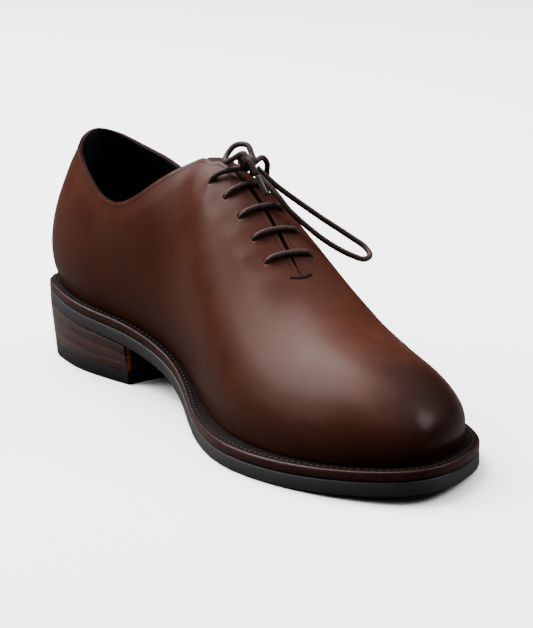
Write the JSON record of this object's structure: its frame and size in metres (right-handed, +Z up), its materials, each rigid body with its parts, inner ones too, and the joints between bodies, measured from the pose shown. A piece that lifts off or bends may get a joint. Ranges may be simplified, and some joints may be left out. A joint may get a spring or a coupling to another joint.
{
  "type": "whole cut oxford shoe",
  "caption": "Men's whole cut leather oxford, left shoe, with a one-piece upper, closed lacing, a bow, a welt all round, a rubber sole and a stacked leather heel.",
  "frame": {"origin": "centre of the shoe's box, on the floor it stands on", "axes": "+Z up, the toe points along -Y and +X is the outer side of the left foot"},
  "size_m": [0.1012, 0.2964, 0.1161],
  "materials": {
    "leather": "smooth polished calf, burnished at the toe",
    "lining": "matt black lining leather",
    "welt_leather": "waxed dark brown edge",
    "rubber": "matt black rubber",
    "stack_leather": "waxed stacked leather",
    "lace_cord": "round waxed cotton",
    "aglet_plastic": "glossy"
  },
  "bodies": {
    "root": {"upper": "leather", "tongue": "lining", "insole": "lining", "welt": "welt_leather", "outsole": "rubber", "heel_lift_1": "stack_leather", "heel_lift_2": "stack_leather", "heel_lift_3": "stack_leather", "top_piece": "rubber", "lace_bar_2": "lace_cord", "lace_bar_3": "lace_cord", "lace_bar_4": "lace_cord", "lace_bar_5": "lace_cord", "lace_rise_inner": "lace_cord", "lace_rise_outer": "lace_cord", "lace_knot": "lace_cord", "lace_loop_long": "lace_cord", "lace_loop_short": "lace_cord", "lace_end_front": "lace_cord", "lace_end_side": "lace_cord", "lace_aglet_front": "aglet_plastic", "lace_aglet_side": "aglet_plastic"}
  },
  "joints": []
}
